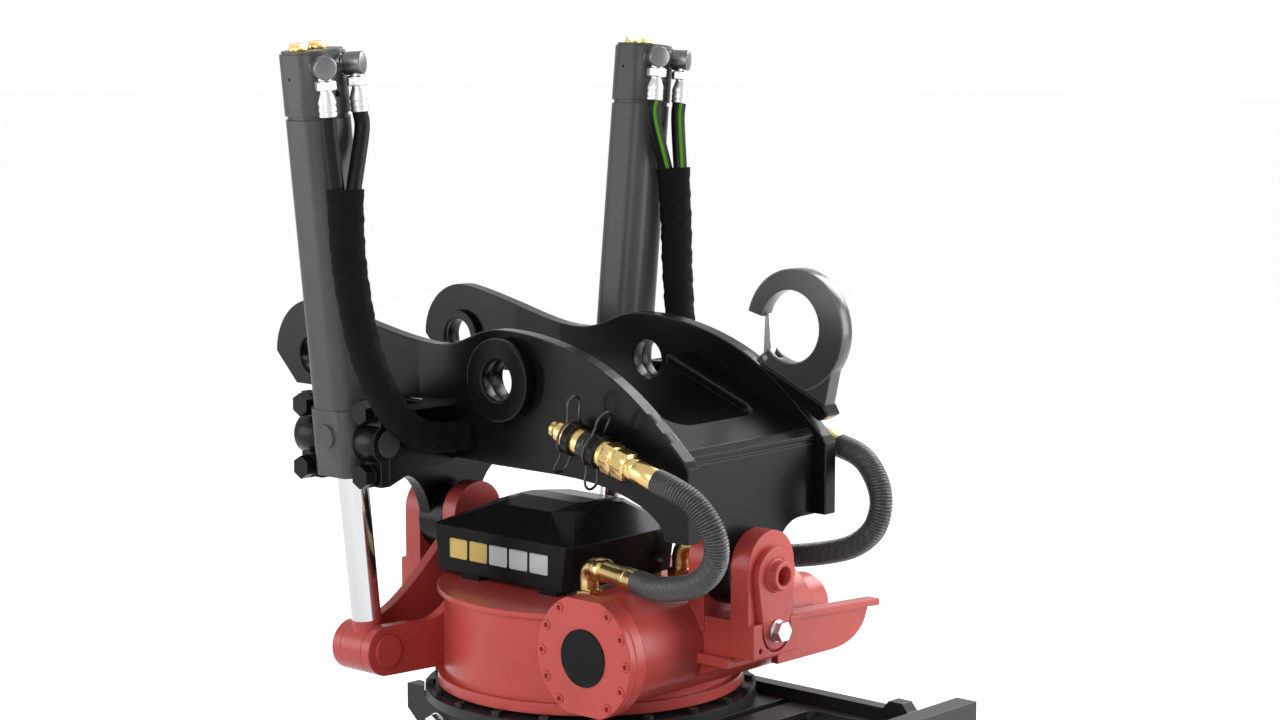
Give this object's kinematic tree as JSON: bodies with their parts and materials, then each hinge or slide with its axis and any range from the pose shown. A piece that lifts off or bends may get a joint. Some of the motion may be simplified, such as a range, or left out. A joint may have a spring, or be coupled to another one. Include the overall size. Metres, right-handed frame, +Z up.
{
  "type": "excavator tilt rotator",
  "caption": "Pin-on excavator hitch tilted by twin cylinders over a worm-driven rotor with a quick coupler below.",
  "frame": {"origin": "on the rotor's axis, in the plane that the coupler stands on", "axes": "+X across the tool, along the pins, +Y to the rear along the tilt axis, +Z up along the rotor's axis"},
  "size_m": [0.7932, 1.079, 1.1491],
  "materials": {
    "black_paint": "satin black paint",
    "red_paint": "satin red paint",
    "brass": "plain brass",
    "zinc": "zinc plated",
    "chrome": "hard chrome",
    "steel": "machined steel",
    "hose_rubber": "black rubber"
  },
  "bodies": {
    "hitch": {"hitch_side_plate_left": "black_paint", "hitch_side_plate_right": "black_paint", "stick_pin_bosses": "black_paint", "link_pin_bosses": "black_paint", "hitch_front_plate": "black_paint", "hitch_rear_plate": "black_paint", "hitch_top_plate": "black_paint", "hitch_base_plate": "black_paint", "tilt_bushes": "brass", "trunnion_bracket_left": "black_paint", "trunnion_bracket_right": "black_paint", "trunnion_caps": "black_paint", "trunnion_cap_bolts": "black_paint", "hook_bracket": "black_paint", "lifting_hook": "black_paint", "latch_pin": "zinc", "quick_couplings": "brass", "coupling_clamps": "black_paint", "main_hose_left": "hose_rubber", "main_hose_right": "hose_rubber", "tilt_hoses_left": "hose_rubber", "tilt_hoses_right": "hose_rubber"},
    "hook_latch": {"hook_latch": "zinc"},
    "cylinder_left": {"barrel_left": "black_paint", "cylinder_head_left": "black_paint", "trunnion_collar_left": "black_paint", "head_plugs_left": "brass", "head_elbows_left": "zinc"},
    "cylinder_right": {"barrel_right": "black_paint", "cylinder_head_right": "black_paint", "trunnion_collar_right": "black_paint", "head_plugs_right": "brass", "head_elbows_right": "zinc"},
    "rod_left": {"piston_rod_left": "chrome", "piston_left": "steel", "rod_eye_left": "red_paint"},
    "rod_right": {"piston_rod_right": "chrome", "piston_right": "steel", "rod_eye_right": "red_paint"},
    "housing": {"gear_housing": "red_paint", "worm_cover": "red_paint", "cover_bolts": "steel", "tilt_pins": "red_paint", "pin_retainers": "red_paint", "retainer_bolts": "zinc", "lug_pins": "red_paint", "hydraulic_motor": "red_paint", "motor_guard": "red_paint", "valve_cover": "black_paint", "valve_block": "steel", "block_elbows": "brass", "worm_bearings": "steel", "slew_ring": "steel"},
    "worm": {"worm": "steel"},
    "rotor": {"worm_wheel": "steel", "turntable": "steel", "coupler_bolts": "zinc", "coupler_frame": "black_paint", "lock_cylinder": "steel"},
    "lock_bars": {"lock_bars": "steel"}
  },
  "joints": [
    {"name": "tilt", "type": "hinge", "parent": "hitch", "child": "housing", "pos_m": [0, 0, 0.41], "axis": [0, 1, 0], "range_deg": [-40, 40], "deforming": ["main_hose_left", "main_hose_right"]},
    {"name": "rotor_turn", "type": "hinge", "parent": "housing", "child": "rotor", "pos_m": [0, 0, 0.2], "axis": [0, 0, 1], "continuous": true},
    {"name": "worm_turn", "type": "hinge", "parent": "housing", "child": "worm", "pos_m": [0, -0.185, 0.302], "axis": [1, 0, 0], "continuous": true},
    {"name": "barrel_swing_left", "type": "hinge", "parent": "hitch", "child": "cylinder_left", "pos_m": [-0.2903, 0.205, 0.578], "axis": [0, 1, 0], "range_deg": [-15, 15], "deforming": ["tilt_hoses_left"]},
    {"name": "barrel_swing_right", "type": "hinge", "parent": "hitch", "child": "cylinder_right", "pos_m": [0.2903, 0.205, 0.578], "axis": [0, 1, 0], "range_deg": [-15, 15], "deforming": ["tilt_hoses_right"]},
    {"name": "rod_slide_left", "type": "slide", "parent": "cylinder_left", "child": "rod_left", "axis": [0.1051, 0, -0.9945], "range_m": [-0.185, 0.185]},
    {"name": "rod_slide_right", "type": "slide", "parent": "cylinder_right", "child": "rod_right", "axis": [-0.1051, 0, -0.9945], "range_m": [-0.185, 0.185]},
    {"name": "latch_open", "type": "hinge", "parent": "hitch", "child": "hook_latch", "pos_m": [0.15, -0.21838, 0.69], "axis": [1, 0, 0], "range_deg": [0, 40], "stiffness_Nm_per_rad": 0.3, "springref_deg": -28.65},
    {"name": "lock_slide", "type": "slide", "parent": "rotor", "child": "lock_bars", "axis": [0, 1, 0], "range_m": [0, 0.065]}
  ],
  "couplings": [
    {"joint": "barrel_swing_left", "follows": "tilt", "ratio": 0.3724},
    {"joint": "barrel_swing_right", "follows": "tilt", "ratio": 0.3724},
    {"joint": "rod_slide_left", "follows": "tilt", "m_per_rad": -0.2639},
    {"joint": "rod_slide_right", "follows": "tilt", "m_per_rad": 0.2639},
    {"joint": "worm_turn", "follows": "rotor_turn", "ratio": -60}
  ]
}
